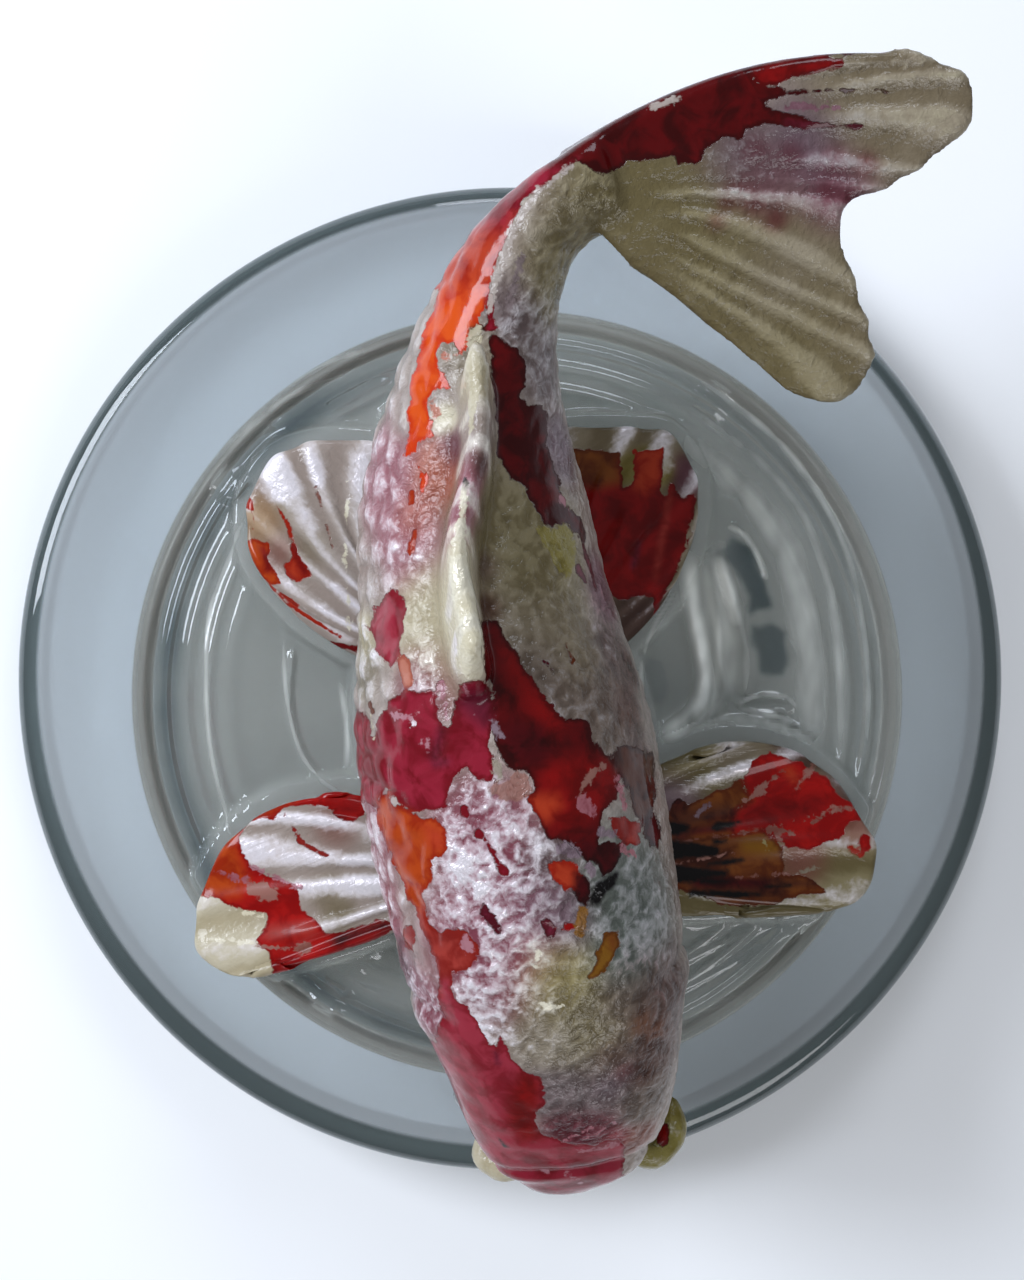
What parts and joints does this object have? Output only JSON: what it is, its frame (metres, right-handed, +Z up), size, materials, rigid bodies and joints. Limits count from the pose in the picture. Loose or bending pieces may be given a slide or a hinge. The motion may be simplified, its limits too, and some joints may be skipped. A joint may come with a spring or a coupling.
{
  "type": "koi carp figurine on a clear base",
  "caption": "Hand-painted cast koi ornament, tail swept to one side, resting on a stepped round clear base with water ripples.",
  "frame": {"origin": "centre of the round base's underside", "axes": "+Z up, -Y the way the koi's head points, +X the koi's own left side, to which its tail sweeps"},
  "size_m": [0.0992, 0.1024, 0.0586],
  "materials": {
    "pearl_white": "pearl and cream paint on cast resin, under gloss varnish",
    "candy_red": "transparent red lacquer over pearl, under gloss varnish",
    "orange": "transparent orange lacquer over pearl, under gloss varnish",
    "black_gloss": "black gloss paint",
    "clear_acrylic": "polished clear acrylic"
  },
  "bodies": {
    "root": {"lips": "candy_red", "head": "candy_red", "trunk": "pearl_white", "tail_stalk": "orange", "caudal_fin": "pearl_white", "dorsal_fin": "pearl_white", "anal_fin": "orange", "pectoral_fin_left": "candy_red", "pectoral_fin_right": "candy_red", "pelvic_fin_left": "orange", "pelvic_fin_right": "orange", "barbel_left": "pearl_white", "barbel_right": "pearl_white", "barbel_small_left": "pearl_white", "barbel_small_right": "pearl_white", "eye_left": "black_gloss", "eye_right": "black_gloss", "water_disc": "clear_acrylic", "base_plate": "clear_acrylic"}
  },
  "joints": []
}
